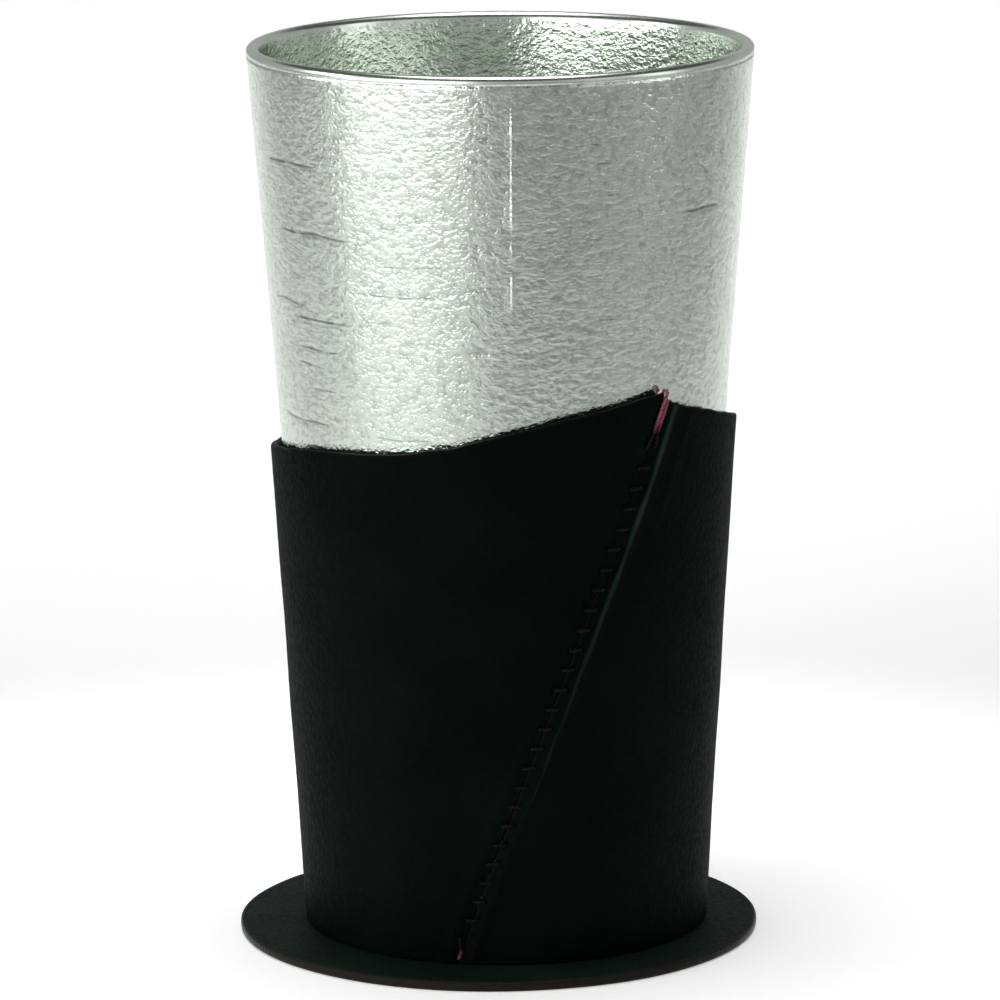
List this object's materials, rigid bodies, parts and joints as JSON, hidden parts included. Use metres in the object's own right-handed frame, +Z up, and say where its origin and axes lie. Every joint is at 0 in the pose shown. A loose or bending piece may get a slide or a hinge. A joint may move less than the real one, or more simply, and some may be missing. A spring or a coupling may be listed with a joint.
{
  "type": "beer tumbler",
  "caption": "Tall conical cast-tin drinking tumbler in a slip-on leather sleeve with a slanting laced seam, standing on a thin round leather coaster.",
  "frame": {"origin": "middle of the coaster's underside, on the table; the tumbler stands 1.2 mm to the +X side of it", "axes": "+Z up along the tumbler's axis, -Y towards the front of the picture, +X to its right"},
  "size_m": [0.079, 0.079, 0.1356],
  "materials": {
    "cast_tin": "sand-cast tin with a fine pebbled skin and a polished lip",
    "sleeve_leather": "black grained leather, matt, with rolled seam edges",
    "waxed_thread": "waxed red sewing thread",
    "coaster_leather": "black leather, matt, with a worn cut edge"
  },
  "bodies": {
    "coaster": {"coaster": "coaster_leather"},
    "sleeve": {"sleeve": "sleeve_leather", "seam_thread": "waxed_thread"},
    "cup": {"cup": "cast_tin"}
  },
  "joints": [
    {"name": "sleeve_lift", "type": "slide", "parent": "coaster", "child": "sleeve", "axis": [0, 0, 1], "range_m": [0, 0.06]},
    {"name": "cup_slide", "type": "slide", "parent": "sleeve", "child": "cup", "axis": [0, 0, 1], "range_m": [0, 0.1]}
  ]
}
